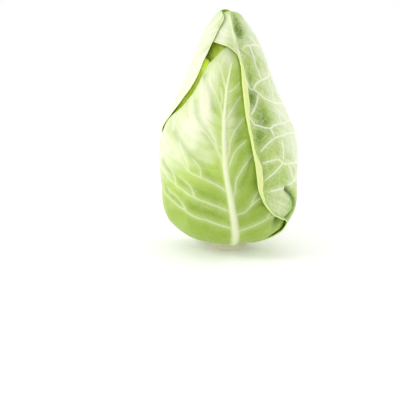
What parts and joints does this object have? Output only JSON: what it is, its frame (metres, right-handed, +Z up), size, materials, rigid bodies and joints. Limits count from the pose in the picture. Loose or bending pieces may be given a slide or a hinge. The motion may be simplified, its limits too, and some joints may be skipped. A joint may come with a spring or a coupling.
{
  "type": "pointed cabbage head",
  "caption": "Whole pointed cabbage head with pale waxy wrapper leaves folded over its tip, standing upright on the flat cut face of its trimmed stalk.",
  "frame": {"origin": "centre of the stalk's flat cut face, on which the head rests", "axes": "+Z up the stalk to the tip of the head; the front leaf's midrib faces -Y and the free margin of the right wrapper leaf is on the +X side of it"},
  "size_m": [0.1224, 0.123, 0.2152],
  "materials": {
    "waxy_leaf": "satin, waxy bloom",
    "outer_leaf": "semi-gloss",
    "inner_leaf": "semi-gloss",
    "cut_stalk": "matte, fibrous"
  },
  "bodies": {
    "root": {"stalk": "cut_stalk", "heart": "inner_leaf", "inner_left_leaf": "inner_leaf", "inner_right_leaf": "inner_leaf", "back_leaf": "outer_leaf", "front_leaf": "outer_leaf", "right_wrapper_leaf": "waxy_leaf", "left_wrapper_leaf": "waxy_leaf"}
  },
  "joints": []
}
